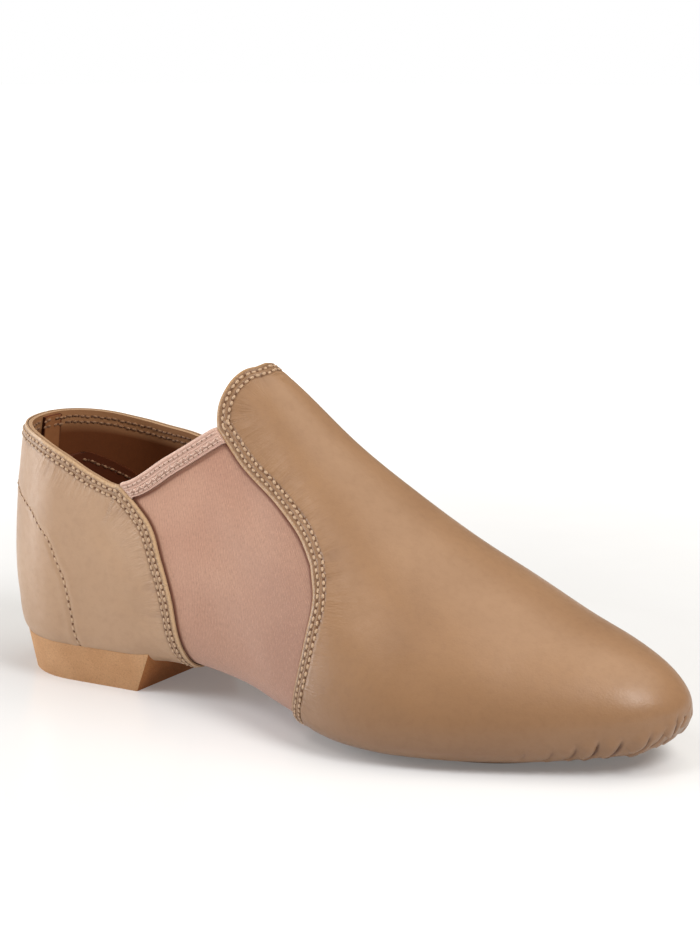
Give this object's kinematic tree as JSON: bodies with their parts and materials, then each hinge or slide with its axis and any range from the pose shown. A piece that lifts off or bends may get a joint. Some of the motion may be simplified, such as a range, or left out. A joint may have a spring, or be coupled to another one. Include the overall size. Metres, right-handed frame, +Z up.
{
  "type": "jazz shoe",
  "caption": "Slip-on leather jazz shoe with stretch gores, a high tongue, a bound collar and a split sole: forefoot pad and low heel.",
  "frame": {"origin": "on the floor, under the middle of the shoe's outer box; forefoot sole and heel both stand flat on z = 0", "axes": "+X towards the toe, +Y towards the inner side of the right foot, +Z up"},
  "size_m": [0.243, 0.0926, 0.1083],
  "materials": {
    "leather": "soft satin tan leather",
    "stretch": "pinkish tan stretch weave, lined",
    "binding": "ribbed elastic binding",
    "suede": "matt brown suede",
    "pad": "matt sueded rubber",
    "crepe": "matt fine-celled crepe"
  },
  "bodies": {
    "root": {"upper_body": "stretch", "vamp": "leather", "quarter": "leather", "binding_outer": "binding", "binding_inner": "binding", "sock": "suede", "forefoot_sole": "pad", "heel": "crepe"}
  },
  "joints": []
}
